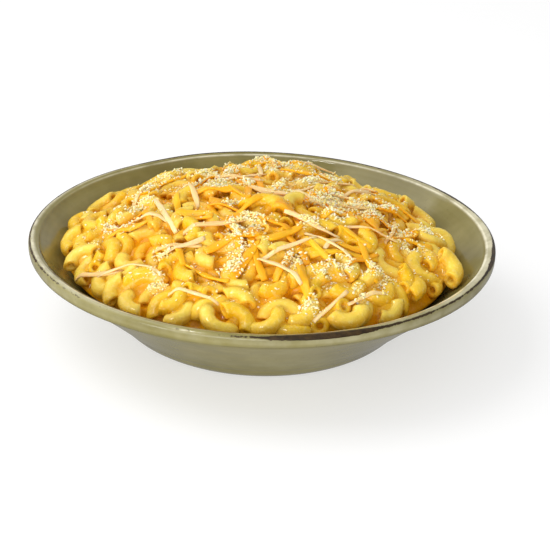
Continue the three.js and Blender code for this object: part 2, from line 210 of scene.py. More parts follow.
def stoneware_glaze():
    """Sage green reactive glaze, glossy, breaking to brown where it runs thin over an edge."""
    made, put, shader, coords, outside, pooled, worn = blank_material(
        "stoneware_sage_glaze", "outside", "pooled", "worn"
    )
    cloud = put(NOISE, Vector=coords, Scale=1 / (30 * MM), Detail=3.0, Roughness=0.6)
    inner = put(RAMP, ((0.3, "#756c38"), (0.5, "#827944"), (0.72, "#918854")), Fac=cloud)
    # greener outside than in, and lighter there as painted light on an outside that the lamps light too
    # little
    outer = put(RAMP, ((0.3, "#948944"), (0.5, "#a2954f"), (0.72, "#afa361")), Fac=cloud)
    body = put(MIX, Fac=outside, Color1=inner, Color2=outer)
    # rings that the potter's fingers left, about 3 mm apart up the wall
    flat = put("ShaderNodeVectorMath", TIMES, at0=coords, at1=(6.0, 6.0, 330.0))
    rings = put(NOISE, Vector=flat, Scale=1.0)
    thrown = put(RAMP, ((0.42, "#000000"), (0.7, "#5a5a5a")), Fac=rings)
    body = put(MIX, Fac=thrown, Color1=body, Color2="#b7b48d")
    # iron specks in the glaze
    speck = put(NOISE, Vector=coords, Scale=1 / (1.6 * MM), Detail=1.0)
    specks = put(RAMP, ((0.70, "#000000"), (0.76, "#ffffff")), Fac=speck)
    faint = put(MATH, TIMES, at0=specks, at1=0.35)
    body = put(MIX, Fac=faint, Color1=body, Color2="#6b5a37")
    # pale on the lip and its inner ridge: mostly a painted highlight, with some pale glaze where it
    # pools
    streaky = put(NOISE, Vector=coords, Scale=1 / (9 * MM), Detail=3.0)
    streaks = put(RAMP, ((0.3, "#9a9a9a"), (0.6, "#ffffff")), Fac=streaky)
    pools = put(MATH, TIMES, at0=pooled, at1=streaks)
    body = put(MIX, Fac=pools, Color1=body, Color2="#eae4c8")
    # brown break along the edges of the rim, with a ragged border
    ragged = put(NOISE, Vector=coords, Scale=1 / (4.5 * MM), Detail=5.0, Roughness=0.75)
    border = put(MATH, TIMES_PLUS, at0=ragged, at1=1.5, at2=-0.75)
    reach = put(MATH, PLUS, at0=worn, at1=border)
    broken = put(RAMP, ((0.36, "#000000"), (0.48, "#ffffff")), Fac=reach)
    brown = put(RAMP, ((0.35, "#140b02"), (0.65, "#453215")), Fac=ragged)
    coat = put(MIX, Fac=broken, Color1=body, Color2=brown)
    # glossy, and duller where it is brown
    dull = put(RAMP, ((0.0, "#6a6a6a"), (1.0, "#b0b0b0")), Fac=broken)
    ripple = put(NOISE, Vector=coords, Scale=1 / (12 * MM))
    bump = put(BUMP, Strength=0.25, Distance=0.6 * MM, Height=ripple)
    plug(
        shader, Base_Color=coat, Roughness=dull, Normal=bump,
        Specular_IOR_Level=0.22, Coat_Weight=0.07, Coat_Roughness=0.2,
    )
    return made


def sauced(name, deep, middle, pale):
    """Cheese sauce over pasta, wet: painted shade in deep orange down in the gaps and on the sides,
    paler on top where the light falls.
    """
    made, put, shader, coords, depth, tone, strewn, raised, dusted = blank_material(
        name, "depth", "tone", "strewn", "raised", "dusted"
    )
    patch = put(NOISE, Vector=coords, Scale=1 / (11 * MM), Detail=3.0, Roughness=0.6)
    mottle = put(MATH, TIMES_PLUS, at0=patch, at1=0.9, at2=-0.45)
    mixed = put(MATH, PLUS, at0=mottle, at1=tone)
    skin = put(RAMP, ((0.15, middle), (0.75, pale)), Fac=mixed)
    # melted orange cheese has tinted the sauce here and there
    melt = put(NOISE, Vector=coords, Scale=1 / (17 * MM))
    tinge = put(RAMP, ((0.48, "#000000"), (0.62, "#e0e0e0")), Fac=melt)
    tinged = put(MATH, TIMES, at0=tinge, at1=strewn)
    skin = put(MIX, Fac=tinged, Color1=skin, Color2="#ee9f06")
    # painted shade: amber on the sides that face away from the light and down in the gaps
    sides = put(RAMP, ((0.1, "#c8c8c8"), (0.7, "#000000")), Fac=raised)
    runs = put(MATH, {"operation": "MAXIMUM"}, at0=sides, at1=depth)
    coat = put(MIX, Fac=runs, Color1=skin, Color2=deep)
    # fine curds, paler than the sauce that they float in, and fewer down in the gaps so as not to
    # lighten the painted shade there
    curd = put(NOISE, Vector=coords, Scale=1 / (2.1 * MM), Detail=3.0, Roughness=0.62)
    flecks = put(RAMP, ((0.54, "#000000"), (0.66, "#b4b4b4")), Fac=curd)
    above = put(MATH, TIMES_PLUS, at0=depth, at1=-0.6, at2=0.6)
    fleck = put(MATH, TIMES, at0=flecks, at1=above)
    coat = put(MIX, Fac=fleck, Color1=coat, Color2="#f8e596")
    # cheese ground too fine to be a crumb sticks round each clump
    fine = put(NOISE, Vector=coords, Scale=1 / (1.2 * MM), Detail=4.0, Roughness=0.7)
    settled = put(MATH, TIMES_PLUS, at0=dusted, at1=0.5, at2=fine)
    dust = put(RAMP, ((0.6, "#000000"), (0.8, "#f0f0f0")), Fac=settled)
    lies = put(MATH, TIMES, at0=dust, at1=raised)
    coat = put(MIX, Fac=lies, Color1=coat, Color2="#ffe48e")
    # the curds stand out of a slow flow, and are duller than the sauce between them
    flow = put(NOISE, Vector=coords, Scale=1 / (5.5 * MM))
    height = put(MATH, TIMES_PLUS, at0=curd, at1=0.8, at2=flow)
    bump = put(BUMP, Strength=0.6, Distance=1.1 * MM, Height=height)
    dull = put(RAMP, ((0.35, "#5c5c5c"), (0.65, "#a8a8a8")), Fac=curd)
    plug(
        shader, Base_Color=coat, Roughness=dull, Normal=bump, Specular_IOR_Level=0.04,
        Subsurface_Weight=0.08, Subsurface_Radius=(1.0, 0.8, 0.2), Subsurface_Scale=SOAK,
        Coat_Weight=0.3, Coat_Roughness=0.16,
    )
    return made


def grated(name, dark, pale, roughness, sheen):
    """Grated cheese, a little oily: streaks along the strip where the grater tore it."""
    made, put, shader, _, tone = blank_material(name, "tone")
    along = put(GIVEN, {"attribute_name": "streak"}, "Vector")
    streak = put(NOISE, Vector=along, Scale=1.0, Detail=3.0, Roughness=0.6)
    mixed = put(MATH, TIMES_PLUS, at0=streak, at1=0.7, at2=tone)
    coat = put(RAMP, ((0.2, dark), (0.75, pale)), Fac=mixed)
    bump = put(BUMP, Strength=0.5, Distance=0.4 * MM, Height=streak)
    plug(
        shader, Base_Color=coat, Roughness=roughness, Normal=bump, Specular_IOR_Level=0.2,
        Subsurface_Weight=0.3, Subsurface_Radius=(1.0, 0.6, 0.2), Subsurface_Scale=SOAK,
        Coat_Weight=sheen,
    )
    return made


def dry_crumb():
    """Dry white cheese, crumbled: matt and grainy, from butter yellow to ivory."""
    made, put, shader, coords, tone = blank_material("crumbled_white_cheese", "tone")
    grain = put(NOISE, Vector=coords, Scale=1 / (0.8 * MM))
    mixed = put(MATH, TIMES_PLUS, at0=grain, at1=0.4, at2=tone)
    shades = ((0.15, "#fad666"), (0.35, "#ffe694"), (0.55, "#fff1b8"), (0.85, "#fff8dc"))
    coat = put(RAMP, shades, Fac=mixed)
    bump = put(BUMP, Strength=0.4, Distance=0.2 * MM, Height=grain)
    plug(
        shader, Base_Color=coat, Roughness=0.75, Normal=bump,
        Subsurface_Weight=0.5, Subsurface_Radius=(1.0, 0.8, 0.4), Subsurface_Scale=SOAK,
    )
    return made


# ---- mesh work


def select_verts(mesh, wanted):
    """Out of edit mode, picks the vertices that a test wants, and what lies between them."""
    for vertex in mesh.vertices:
        vertex.select = bool(wanted(vertex.co))
    for part in (mesh.edges, mesh.polygons):
        for each in part:
            each.select = all(mesh.vertices[i].select for i in each.vertices)


def edit(mode="VERT"):
    """Into edit mode, with one kind of element to pick."""
    bpy.ops.object.mode_set(mode="EDIT")
    bpy.ops.mesh.select_mode(type=mode)


def leave():
    bpy.ops.object.mode_set(mode="OBJECT")


def pick_all():
    bpy.ops.mesh.select_all(action="SELECT")


def cut_across(count, length, way):
    """Cuts a straight blank, in edit mode, into equal short lengths, so that it can bend."""
    for k in range(1, count):
        place = (k / count - 0.5) * length
        pick_all()
        bpy.ops.mesh.bisect(plane_co=[place * part for part in way], plane_no=way)


def read(items, name, width=1, kind=float):
    """What all of a mesh's vertices, corners or faces hold under a name, in one row."""
    values = np.empty(len(items) * width, dtype=kind)
    items.foreach_get(name, values)
    return values


def arrays(mesh):
    """A mesh's points, its faces' corners one after another, and how many each face has."""
    points = read(mesh.vertices, "co", 3).reshape(-1, 3)
    corners = read(mesh.loops, "vertex_index", kind=np.int64)
    return points, corners, read(mesh.polygons, "loop_total", kind=np.int64)


def taken(piece):
    """A blank's points and faces. The blank itself is put away."""
    blank = arrays(piece.data)
    bpy.data.objects.remove(piece)
    return blank


def linked(name, data):
    """A new object for a mesh, a lamp or a camera, put in the scene."""
    made = bpy.data.objects.new(name, data)
    bpy.context.scene.collection.objects.link(made)
    return made


def joined(name, blank, copies):
    """One mesh from many placed copies of a blank's points, in millimetres."""
    _, corners, counts = blank
    size = len(copies[0])
    mesh = bpy.data.meshes.new(name)
    mesh.vertices.add(size * len(copies))
    mesh.vertices.foreach_set("co", (np.concatenate(copies) * MM).ravel())
    mesh.loops.add(len(corners) * len(copies))
    shifted = corners[None, :] + size * np.arange(len(copies))[:, None]
    mesh.loops.foreach_set("vertex_index", shifted.ravel())
    totals = np.tile(counts, len(copies))
    mesh.polygons.add(len(totals))
    mesh.polygons.foreach_set("loop_start", np.concatenate([[0], np.cumsum(totals)[:-1]]))
    mesh.update(calc_edges=True)
    mesh.validate()
    return linked(name, mesh)


def give(piece, **named):
    """Stores a value, or a vector, for each vertex under each name."""
    for name, values in named.items():
        values = np.asarray(values, dtype=np.float32)
        kind, slot = ("FLOAT", "value") if values.ndim == 1 else ("FLOAT_VECTOR", "vector")
        piece.data.attributes.new(name, kind, "POINT").data.foreach_set(slot, values.ravel())


def facing_up(mesh):
    """For each vertex, how far it faces up: 0 for a side or the underside, 1 on top."""
    return np.clip(read(mesh.vertices, "normal", 3)[2::3], 0, 1)


def alone(piece):
    bpy.ops.object.select_all(action="DESELECT")
    piece.select_set(True)
    bpy.context.view_layer.objects.active = piece


def finished(piece, material, node="macaroni_heap"):
    """Gives a piece its material, puts it on its body, and has it stand for the CAD node."""
    piece.data.materials.append(material)
    piece.data.polygons.foreach_set("use_smooth", [True] * len(piece.data.polygons))
    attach(piece, "root")
    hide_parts(node)


def applied(piece, kind, **settings):
    """Adds a modifier and applies it."""
    alone(piece)
    made = piece.modifiers.new(kind.title(), kind)
    for name, value in settings.items():
        setattr(made, name, value)
    bpy.ops.object.modifier_apply(modifier=made.name)


# ---- bowl


def wall_height(radius):
    """Inside wall of the bowl."""
    out = (np.asarray(radius, dtype=float) - FLOOR_RADIUS) / (INNER_RADIUS - FLOOR_RADIUS)
    return FLOOR_HEIGHT + (INNER_HEIGHT - FLOOR_HEIGHT) * np.maximum(0, out) ** WALL_POWER


def off_wall(x, y, clear):
    """How high a thing has to lie at a place to stay clear of the wall by so much."""
    away = np.hypot(x, y)
    slope = wall_height(away + 0.5) - wall_height(away - 0.5)
    return wall_height(away) + clear * np.sqrt(1 + slope**2)


def bowl_profile():
    """From the middle of the foot's recess round the outside to the middle of the floor."""
    recess = [(0, 3.5), (30, 3.5), (60, 3.5), (62.6, 3.1), (63.8, 1.6)]
    foot = [(64.2, 0.3), (65, 0), (69, 0), (70.1, 0.3), (71.6, 1.2), (74, 2.9), (76.2, 5.0)]
    body = [(77.9, 6.9), (78.8, 7.9), (79.4, 8.3), (80.6, 9.6), (84.6, 13.3), (89, 17.2), (94.7, 22.2)]
    body += [(100.2, 26.8), (105.4, 31.0), (110.6, 35.1), (115.0, 38.6)]
    groove = [(116.9, 40.2), (117.9, 41.0), (118.7, 41.5), (120.1, 41.8)]
    band = [(121.6, 42.4), (122.3, 43.6), (122.5, 45.0), BAND_TOP, (122.35, 47.7)]
    lip = [(122.0, 48.2), (121.6, 48.6), (121.1, 48.9), (120.6, 49.0), (120.0, 48.95)]
    lip += [(119.3, 48.75), (118.6, 48.5)]
    ridge = [(118.0, 48.3), (117.5, 48.15), (117.1, 47.85), (116.8, 47.4), (116.4, 46.9), (115.6, 46.2)]
    wall = (114.4, 112, 109, 105, 100, 94, 87, 80, 74, 69, 65, 62, 60)
    rows = recess + foot + body + groove + band + lip + ridge
    rows += [(radius, float(wall_height(radius))) for radius in wall]
    return rows + [(radius, FLOOR_HEIGHT) for radius in (50, 30, 0)]


def round_axis(points):
    """How far from the bowl's axis points lie, and in which direction."""
    return np.hypot(points[:, 0], points[:, 1]), np.arctan2(points[:, 1], points[:, 0])


def near(values, middle, width):
    """1 at the middle, falling away to both sides as a bell does."""
    return np.exp(-(((values - middle) / width) ** 2))


def rim_wear(radius, height, angle):
    """How dark the rim is: the glaze's brown break along an outer line, broad in patches, and a fine
    dark inner line.
    """
    more = np.zeros(len(radius))
    for middle, width, strength in WORN_PATCHES:
        more += strength * near((angle / DEG - middle + 180) % 360 - 180, 0, width)
    # the outer line runs further in at the back
    back = np.maximum(0, np.sin(angle))
    outer = near(radius, LIP_MARKS["outer"] - 1.3 * back, 0.6 + 0.6 * np.maximum(0, more))
    outer = outer * np.maximum(0, 0.65 + more)
    # the inner line is fine, and shows most at the front left
    front = near(angle, FRONT_LEFT, 40 * DEG)
    inner = near(radius, LIP_MARKS["inner"] + 1.5 * front, 0.5 + 0.3 * front) * (0.3 + 0.6 * front)
    return np.clip(height - 47.0, 0, 1) * np.maximum(outer, inner)


def rim_highlight_and_pooling(radius, height, angle):
    """How pale the rim is painted, mostly as highlight with some pooled glaze: on the rim's crown at
    the left, on its inner ridge elsewhere.
    """
    left, right = np.maximum(0, -np.cos(angle)) ** 2, np.maximum(0, np.cos(angle)) ** 2
    crown = near(radius, LIP_MARKS["crown"], 0.9)
    ridge = near(radius, LIP_MARKS["ridge"], 0.5) * (1 - 0.7 * near(angle, FRONT_LEFT, 30 * DEG))
    # a painted highlight along the inner half of the rim at the front left
    line = near(radius, LIP_MARKS["line"], 0.6) * near(angle, -138 * DEG, 32 * DEG)
    pools = np.maximum(np.maximum(left * crown, (1 - left) * ridge), 1.1 * line)
    # painted highlight also over the flat of the lip at the right, and painted light on the band below
    # the rim
    flat = right * (radius > 117.8) * (radius < 121.4) * (height > 47)
    band = near(height, 45.6, 2.2) * (radius > 121.5) * (1 - 0.6 * near(angle, FRONT_LEFT, 40 * DEG))
    return np.clip(height - 46.6, 0, 1) * pools + 0.7 * flat + 0.4 * band


def outside_light_and_foot_shade(radius, height, rows):
    """0 inside and 1 outside, less on the rim's band, and less towards the foot as painted shade where
    the floor would shade it.
    """
    table = np.array(rows)
    flat = (radius[:, None] - table[:, 0]) ** 2 + (height[:, None] - table[:, 1]) ** 2
    outer = np.argmin(flat, axis=1) < rows.index(BAND_TOP)
    return outer * np.clip(height / 30, 0.3, 1) * np.where(height > 42.2, 0.25, 1)


def spun(name, rows):
    """Extrudes a profile point by point, and spins it round the bowl's axis."""
    bpy.ops.mesh.primitive_plane_add(size=0.01)
    piece = bpy.context.object
    piece.name = piece.data.name = name
    edit()
    pick_all()
    bpy.ops.mesh.merge(type="CENTER")
    bpy.ops.transform.translate(value=(rows[0][0] * MM, 0, rows[0][1] * MM))
    for last, row in zip(rows, rows[1:]):
        step = ((row[0] - last[0]) * MM, 0, (row[1] - last[1]) * MM)
        bpy.ops.mesh.extrude_region_move(TRANSFORM_OT_translate={"value": step})
    pick_all()
    bpy.ops.mesh.spin(steps=BOWL_STEPS, angle=TURN, center=(0, 0, 0), axis=(0, 0, 1))
    pick_all()
    bpy.ops.mesh.remove_doubles(threshold=1e-6)
    bpy.ops.mesh.normals_make_consistent(inside=False)
    leave()
    return piece


def turned_bowl():
    """The bowl from its profile, with what its glaze reads, and its rim a little uneven."""
    rows = bowl_profile()
    bowl = spun("stoneware_bowl", rows)
    points = arrays(bowl.data)[0] / MM
    radius, angle = round_axis(points)
    height = points[:, 2].copy()
    give(bowl, worn=rim_wear(radius, height, angle), pooled=rim_highlight_and_pooling(radius, height, angle))
    give(bowl, outside=outside_light_and_foot_shade(radius, height, rows))
    share = np.clip((height - (RIM_HEIGHT - RIM_LEAN)) / RIM_LEAN, 0, 1)
    share = share * share * (3 - 2 * share)
    dent = RIM_DENT["depth"] * near(angle, RIM_DENT["angle"], RIM_DENT["width"]) * share
    points[:, :2] *= (1 - dent / np.maximum(radius, 1))[:, None]
    points[:, 2] += RIM_WAVE["height"] * np.cos(RIM_WAVE["count"] * angle + RIM_WAVE["phase"]) * share
    bowl.data.vertices.foreach_set("co", (points * MM).ravel())
    finished(bowl, stoneware_glaze(), "bowl")


# ---- heap


def dome_height(x, y):
    """Mean top of the heap."""
    x, y = np.asarray(x, dtype=float), np.asarray(y, dtype=float)
    across = np.minimum(1, np.hypot(x - HEAP_SHIFT, y) / HEAP_RADIUS)
    height = HEAP_EDGE_HEIGHT + HEAP_RISE * (1 - across * across) ** HEAP_POWER
    for lx, ly, width, rise in HEAP_LUMPS:
        height = height + rise * np.exp(-((x - lx) ** 2 + (y - ly) ** 2) / width**2)
    return height


def core_height(x, y, depth=CORE_DEPTH, edge=CORE_EDGE_DEPTH):
    """Top of what lies below the elbows, shallower at the edge than in the middle."""
    across = np.minimum(1, np.hypot(x - HEAP_SHIFT, y) / HEAP_RADIUS)
    return dome_height(x, y) - depth + (depth - edge) * across**6


def turned(points, axis, angle):
    """Turns points about one axis."""
    a, b = [(1, 2), (2, 0), (0, 1)][axis]
    out = points.copy()
    c, s = math.cos(angle), math.sin(angle)
    out[:, a] = points[:, a] * c - points[:, b] * s
    out[:, b] = points[:, a] * s + points[:, b] * c
    return out


def posed(points, pose):
    """Tips an elbow up on its ends, turns it, and leans it with the slope of the heap."""
    points = turned(points, 0, pose["tilt"])
    points = turned(points, 1, pose["pitch"])
    points = turned(points, 2, pose["heading"] - pose["bearing"])
    points = turned(points, 1, pose["slope"])
    return turned(points, 2, pose["bearing"])


def bend_points(shares, bend, turn):
    """Places on an elbow's middle line."""
    angle = (shares - 0.5) * turn
    return np.stack([bend * np.sin(angle), bend * (np.cos(angle) - 0.8), 0 * angle], axis=1)


def lean_at(x, y):
    """How steep the heap is at a place, and towards which side it falls."""
    dx = float(dome_height(x + 1, y) - dome_height(x - 1, y))
    dy = float(dome_height(x, y + 1) - dome_height(x, y - 1))
    return {"slope": math.atan(math.hypot(dx, dy) / 2), "bearing": math.atan2(-dy, -dx)}


FULL_SHARES = np.arange(PROBES) / (PROBES - 1)
INSET_SHARES = 0.12 + 0.76 * np.arange(PROBES) / (PROBES - 1)


def dropped(x, y, size, turn, pose, balls, leads, squash=SQUASH, depth=CORE_DEPTH):
    """Drops an elbow onto what lies there already, and says how far it stands out of the heap."""
    radius = TUBE_RADIUS * size
    probes = posed(bend_points(INSET_SHARES, BEND_RADIUS * size, turn), pose)
    full = posed(bend_points(FULL_SHARES, BEND_RADIUS * size, turn), pose)
    px, py = x + probes[:, 0], y + probes[:, 1]
    fx, fy = x + full[:, 0], y + full[:, 1]
    if not leads and np.any(np.hypot(fx - HEAP_SHIFT, fy) > REACH):
        return None
    ground = off_wall(px, py, radius + WALL_GAP)
    ground = np.maximum(core_height(px, py, depth) - radius * SUNK, ground)
    z = float(np.max(ground - probes[:, 2]))
    z = max(z, float(np.max(off_wall(fx, fy, radius * 0.9 + WALL_GAP) - full[:, 2])))
    if len(balls):
        reach = (radius + balls[:, 3]) * squash
        flat = (px[:, None] - balls[:, 0]) ** 2 + (py[:, None] - balls[:, 1]) ** 2
        spare = reach**2 - flat
        touched = spare > 0
        if np.any(touched):
            close = (flat < reach**2 * LEAD_ROOM) & (balls[:, 4] > 0)
            if not leads and np.any(close):
                return None
            rise = balls[:, 2] + np.sqrt(np.maximum(spare, 0)) - probes[:, 2][:, None]
            z = max(z, float(rise[touched].max()))
    place = np.array([x, y, z])
    probes = probes + place
    proud = float(np.max(probes[:, 2] + radius - dome_height(probes[:, 0], probes[:, 1])))
    return {
        "place": place, "size": size, "turn": turn, "pose": pose,
        "radius": radius, "probes": probes, "proud": proud,
    }


def lowest(elbows):
    """The one that stands out least, of those that could be laid."""
    return min(filter(None, elbows), key=lambda elbow: elbow["proud"], default=None)


def seeded(seed):
    """A small repeatable source of random numbers from 0 to 1."""
    state = seed & 0xFFFFFFFF

    def draw():
        nonlocal state
        state = (state + 0x6D2B79F5) & 0xFFFFFFFF
        t = ((state ^ (state >> 15)) * (state | 1)) & 0xFFFFFFFF
        t ^= (t + (((t ^ (t >> 7)) * (t | 61)) & 0xFFFFFFFF)) & 0xFFFFFFFF
        return ((t ^ (t >> 14)) & 0xFFFFFFFF) / 4294967296

    return draw


class Heap:
    """The elbows laid so far, and the balls that stand for them while more are dropped."""

    def __init__(self, seed):
        self.draw = seeded(seed)
        self.balls = np.empty((0, 5))  # x, y, z, radius, and 1 for a leading elbow
        self.elbows = []

    def keep(self, elbow, leads):
        rows = np.empty((PROBES, 5))
        rows[:, :3], rows[:, 3], rows[:, 4] = elbow["probes"], elbow["radius"], leads
        self.balls = np.vstack([self.balls, rows])
        self.elbows.append(elbow)

    def tried_anywhere(self, size, turn, upright, start):
        """One elbow dropped at random, no nearer to the middle than a share of the heap's reach."""
        draw = self.draw
        away = REACH * math.sqrt(start * start + (1 - start * start) * draw())
        angle = TURN * draw()
        x, y = HEAP_SHIFT + away * math.cos(angle), away * math.sin(angle)
        side = -1 if draw() < 0.5 else 1
        tilt = side * upright * (0.5 + 0.5 * draw())
        pitch = (draw() * 2 - 1) * 20 * DEG
        pose = {"tilt": tilt, "pitch": pitch, "heading": TURN * draw(), **lean_at(x, y)}
        pose["slope"] *= 1 - (0.5 + 1.5 * (away / HEAP_RADIUS) ** 6) * draw()
        return dropped(x, y, size, turn, pose, self.balls, False)

    def scatter(self, count, tipped, start):
        """Lays elbows one by one, each in the lowest of the places that it tries."""
        draw = self.draw
        for _ in range(count):
            size = 0.9 + 0.22 * draw()
            turn = BEND_ANGLE * (0.8 + 0.4 * draw())
            upright = (65 if draw() < tipped else 14) * DEG
            best = lowest(self.tried_anywhere(size, turn, upright, start) for _ in range(ELBOW_TRIES))
            if best and best["proud"] < ELBOW_PROUD:
                self.keep(best, False)

    def tried_over(self, x, y):
        """One elbow at random, dropped so that some place along it covers a bare spot."""
        draw = self.draw
        size, turn = 0.86 + 0.2 * draw(), BEND_ANGLE * (0.75 + 0.4 * draw())
        upright = (60 if draw() < 0.35 else 20) * DEG
        tilt, pitch = (2 * draw() - 1) * upright, (2 * draw() - 1) * 25 * DEG
        pose = {"tilt": tilt, "pitch": pitch, "heading": TURN * draw(), **lean_at(x, y)}
        pose["slope"] *= 1 - 0.8 * draw()
        spot = posed(bend_points(np.array([0.15 + 0.7 * draw()]), BEND_RADIUS * size, turn), pose)[0]
        x, y = x - spot[0], y - spot[1]
        elbow = dropped(x, y, size, turn, pose, self.balls, False, GAP_SQUASH, GAP_DEPTH)
        too_high = elbow and elbow["probes"][:, 2].max() + elbow["radius"] > FOOD_TOP
        return None if too_high else elbow

    def fill_gaps(self, most):
        """Finds the widest patch of bare sauce, lays an elbow over it, and so on."""
        self.balls[:, 4] = 0
        across = np.arange(-REACH, REACH, GAP_GRID)
        gx, gy = (part.ravel() for part in np.meshgrid(across, across))
        inside = np.hypot(gx, gy) < REACH - 1
        gx, gy = gx[inside] + HEAP_SHIFT, gy[inside]
        gap = np.full(len(gx), 99.0)

        def cover(rows):
            bare = np.hypot(gx[:, None] - rows[:, 0], gy[:, None] - rows[:, 1]) - rows[:, 3]
            np.minimum(gap, bare.min(axis=1), out=gap)

        top = dome_height(self.balls[:, 0], self.balls[:, 1])
        cover(self.balls[self.balls[:, 2] > top - GAP_UNDER])
        for _ in range(3 * most):
            widest = int(np.argmax(gap))
            if gap[widest] < GAP_LEAST or most == 0:
                break
            best = lowest(self.tried_over(gx[widest], gy[widest]) for _ in range(GAP_TRIES))
            # elbows may stand further out at the front than at the back
            if best and best["proud"] < np.interp(gy[widest], (-80, -76, 10, 40), (5.5, 3.2, 3.2, 0.5)):
                self.keep(best, False)
                cover(self.balls[-PROBES:])
                most -= 1
            gap[widest] = min(gap[widest], 0.0)


def laid_elbows():
    """The leading elbows, each at its own place, then those that find their own."""
    heap = Heap(41)
    none = np.empty((0, 5))
    for x, y, heading, tilt, size, turn in LEADING_ELBOWS:
        pose = {"tilt": tilt * DEG, "pitch": 0, "heading": heading * DEG, **lean_at(x, y)}
        heap.keep(dropped(x, y, size, turn * DEG, pose, none, True), True)
    heap.scatter(EDGE_COUNT, 0.3, EDGE_BAND)
    heap.scatter(TOP_COUNT, 0.25, 0)
    heap.fill_gaps(GAP_COUNT)
    return heap


def cut_rod(sides, radius, length, cuts):
    """A straight rod, standing up and cut across into short lengths."""
    bpy.ops.mesh.primitive_cylinder_add(vertices=sides, radius=radius * MM, depth=length)
    edit("FACE")
    cut_across(cuts, length, (0, 0, 1))
    leave()
    return bpy.context.object


def elbow_blank():
    """One straight tube: its wall is left thick at both ends by an inset, and the bore is sunk in."""
    outer, wall, bore = TUBE_RADIUS * 1.04, 0.7, 5.5
    tube = cut_rod(12, outer, ELBOW_LENGTH * MM, 10)
    for end in (-1, 1):
        face_at = end * ELBOW_LENGTH / 2 * MM
        select_verts(tube.data, lambda co: abs(co.z - face_at) < 1e-6)
        edit("FACE")
        for inward, out in ((wall, 0.35), (outer - wall - BORE_RADIUS, -0.1), (0.35, -0.7)):
            bpy.ops.mesh.inset(thickness=inward * MM, depth=out * MM)
        bpy.ops.mesh.extrude_region_move(TRANSFORM_OT_translate={"value": (0, 0, -end * bore * MM)})
        bpy.ops.transform.resize(value=(0.8, 0.8, 1))
        leave()
    return taken(tube)


def bent(points, elbow, wander):
    """Bends a straight tube's points, given in millimetres, to one elbow's place."""
    bend, size, turn = BEND_RADIUS * elbow["size"], elbow["size"], elbow["turn"]
    angle = points[:, 2] / ELBOW_LENGTH * turn
    flat = 1 + wander[0] * np.cos(2 * np.arctan2(points[:, 1], points[:, 0]) + wander[1])
    side = points[:, 0] * flat * size
    rise = points[:, 1] * flat * size * wander[2]
    reach = bend + side
    out = np.stack([reach * np.sin(angle), reach * np.cos(angle) - 0.8 * bend, rise], axis=1)
    return posed(out, elbow["pose"]) + elbow["place"]


def ruffled(points, middle, amount, grain):
    """Moves points off a middle by smooth noise."""
    out = points.copy()
    for i, point in enumerate(points):
        away = Vector(point - middle[i])
        if away.length > 1e-6:
            out[i] += np.array(away.normalized()) * amount * noise.noise(Vector(point) / grain)
    return out


def depth_under(points):
    """0 on top of the heap and 1 down in its gaps, for points in millimetres."""
    # how deep a point lies sets how much painted shade it gets
    gap = dome_height(points[:, 0], points[:, 1]) - points[:, 2]
    return np.clip((gap - 0.5) / 7.0, 0, 1) ** 1.2


def coated(piece, points, tones, depths, material):
    """Gives a sauced piece what its material reads, and finishes it."""
    give(piece, tone=tones, depth=depths, raised=facing_up(piece.data))
    give(piece, dusted=dust_near(points), strewn=cheddar_near(points))
    finished(piece, material)
    return piece


def elbow_piece(heap):
    """The cooked elbows, each a little out of round, with the sauce ruffled over it."""
    blank = elbow_blank()
    straight = blank[0] / MM
    rng = random.Random(7)
    copies, tones = [], []
    for elbow in heap.elbows:
        wander = (rng.uniform(0, 0.05), rng.uniform(0, TURN), rng.uniform(0.9, 1.0))
        placed = bent(straight, elbow, wander)
        middle = bent(straight * np.array([0, 0, 1]), elbow, wander)
        placed = ruffled(placed, middle, 0.45, 5.0)
        placed[:, 2] = np.maximum(placed[:, 2], wall_height(round_axis(placed)[0]) + WALL_GAP)
        copies.append(placed)
        tones.append(rng.uniform(0.15, 0.85))
    piece, points = joined("macaroni_elbows", blank, copies), np.concatenate(copies)
    material = sauced("sauced_macaroni", "#e29c04", "#e8b91e", "#edce54")
    return coated(piece, points, np.repeat(tones, len(straight)), depth_under(points), material)


def bed_edge(angle):
    """Where the bed of sauce runs into the wall."""
    radius = HEAP_RADIUS
    while radius > 60:
        top = float(core_height(radius * math.cos(angle), radius * math.sin(angle), *BED_DEPTHS))
        if top > float(wall_height(radius)) + WALL_GAP + 0.6:
            break
        radius -= 0.25
    return radius


def sauce_bed():
    """A ball pressed flat between the bowl's wall and the level that the sauce comes up to."""
    bpy.ops.mesh.primitive_uv_sphere_add(segments=64, ring_count=48, radius=1)
    bed = bpy.context.object
    points, _, _ = arrays(bed.data)
    radius, angle = round_axis(points)
    radius = radius * np.array([bed_edge(a) for a in angle])
    x, y = radius * np.cos(angle), radius * np.sin(angle)
    under = wall_height(radius) + WALL_GAP
    over = np.maximum(core_height(x, y, *BED_DEPTHS), under + 0.2)
    z = np.where(points[:, 2] >= 0, over, under)
    bed.data.vertices.foreach_set("co", (np.stack([x, y, z], axis=1) * MM).ravel())
    bed.data.update()
    return bed


def plain_rods(heap):
    """A rod inside each elbow, a little thinner and shorter than it."""
    blank = taken(cut_rod(10, TUBE_RADIUS * 0.93, 1, 6))
    straight = blank[0] / np.array([MM, MM, 1]) * np.array([1, 1, ELBOW_LENGTH * 0.72])
    return joined("cheese_sauce", blank, [bent(straight, elbow, (0, 0, 0.95)) for elbow in heap.elbows])


